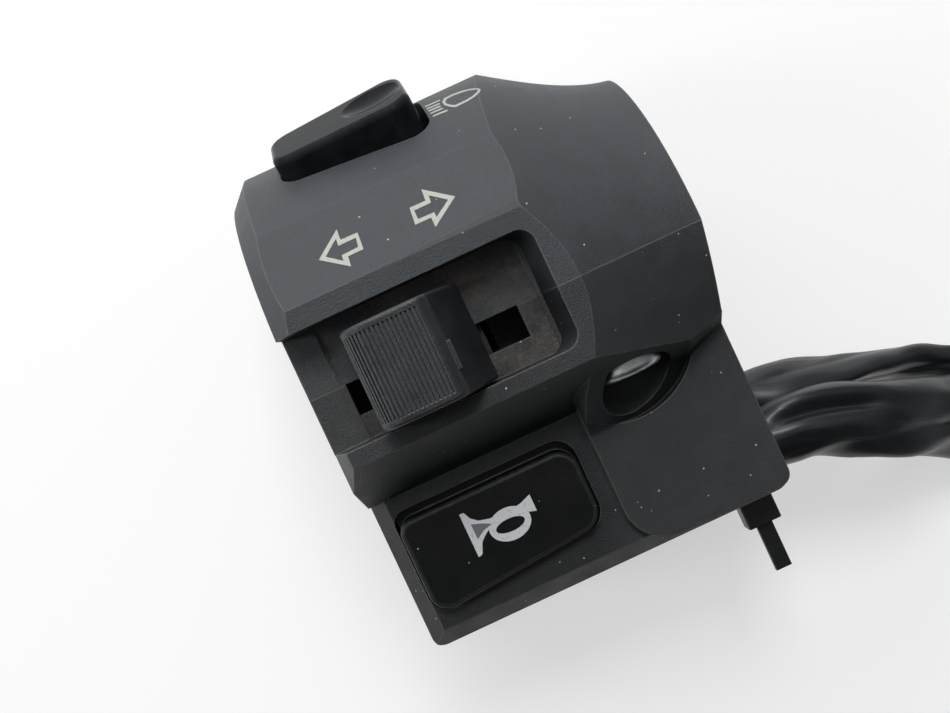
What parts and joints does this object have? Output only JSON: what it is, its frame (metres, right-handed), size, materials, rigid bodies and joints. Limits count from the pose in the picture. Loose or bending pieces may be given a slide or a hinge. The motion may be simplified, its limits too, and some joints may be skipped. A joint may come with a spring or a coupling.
{
  "type": "motorcycle handlebar switch cluster",
  "caption": "Left-hand handlebar switch cluster for a 22 mm bar: sliding turn-signal knob, horn push and dimmer rocker in a split housing, with two sleeved harness leads.",
  "frame": {"origin": "on the handlebar's axis at the middle of the housing's length", "axes": "+X along the bar from the grip side towards the middle of the bike, +Y up to the dimmer side, +Z towards the rider; the housing lies on its flat back at z = -25 mm"},
  "size_m": [0.2452, 0.13, 0.0636],
  "materials": {
    "shell_upper": "fine textured matte",
    "shell_lower": "fine textured satin",
    "zinc": "zinc plated",
    "brass": "stamped",
    "knob": "satin",
    "spring_steel": "drawn wire",
    "steel": "ground",
    "inner_white": "natural acetal",
    "inner_black": "moulded",
    "button": "satin gloss",
    "lever": "polished",
    "tie": "moulded nylon",
    "sleeve": "soft PVC, satin",
    "connector": "natural nylon",
    "tin": "tin plated"
  },
  "bodies": {
    "housing": {"upper_housing": "shell_upper", "lower_housing": "shell_lower", "housing_screws": "zinc", "housing_inserts": "brass", "turn_base": "inner_black", "turn_contacts": "brass", "turn_base_screws": "zinc", "horn_base": "inner_black", "horn_contacts": "brass", "horn_base_screws": "zinc", "dimmer_pin": "steel", "dimmer_base": "inner_black", "dimmer_contacts": "brass", "dimmer_base_screws": "zinc", "cable_tie": "tie", "sleeve_a_lead": "sleeve", "sleeve_b_lead": "sleeve", "sleeve_a_coil": "sleeve", "sleeve_b_coil": "sleeve", "connector_housings": "connector", "connector_terminals": "tin", "coil_tie": "tie"},
    "turn_slider": {"turn_slider": "inner_white", "turn_bridge": "brass", "turn_detent_ball": "steel", "turn_detent_spring": "spring_steel"},
    "turn_knob": {"turn_knob": "knob", "turn_clip": "spring_steel", "turn_push_spring": "spring_steel"},
    "horn_button": {"horn_button": "button", "horn_contact_plate": "brass", "horn_spring": "spring_steel"},
    "dimmer_lever": {"dimmer_lever": "lever", "dimmer_plunger": "brass", "dimmer_spring": "spring_steel"},
    "dimmer_seesaw": {"dimmer_seesaw": "brass"}
  },
  "joints": [
    {"name": "turn_slide", "type": "slide", "parent": "housing", "child": "turn_slider", "axis": [1, 0, 0], "range_m": [-0.006, 0.006]},
    {"name": "turn_push", "type": "slide", "parent": "turn_slider", "child": "turn_knob", "axis": [0, 0, -1], "range_m": [0, 0.0016], "stiffness_N_per_m": 500, "springref_m": -0.0016, "deforming": ["turn_push_spring"]},
    {"name": "horn_push", "type": "slide", "parent": "housing", "child": "horn_button", "axis": [0, 0, -1], "range_m": [0, 0.0025], "stiffness_N_per_m": 800, "springref_m": -0.0025, "deforming": ["horn_spring"]},
    {"name": "dimmer_hinge", "type": "hinge", "parent": "housing", "child": "dimmer_lever", "pos_m": [-0.0091, 0.02411, 0.01124], "axis": [0, 0.4226, -0.9063], "range_deg": [0, 7.2]},
    {"name": "seesaw_hinge", "type": "hinge", "parent": "housing", "child": "dimmer_seesaw", "pos_m": [-0.0091, 0.01649, 0.00769], "axis": [0, 0.4226, -0.9063], "range_deg": [-10.8, 0]}
  ],
  "couplings": [
    {"joint": "seesaw_hinge", "follows": "dimmer_hinge", "ratio": -1.5}
  ]
}
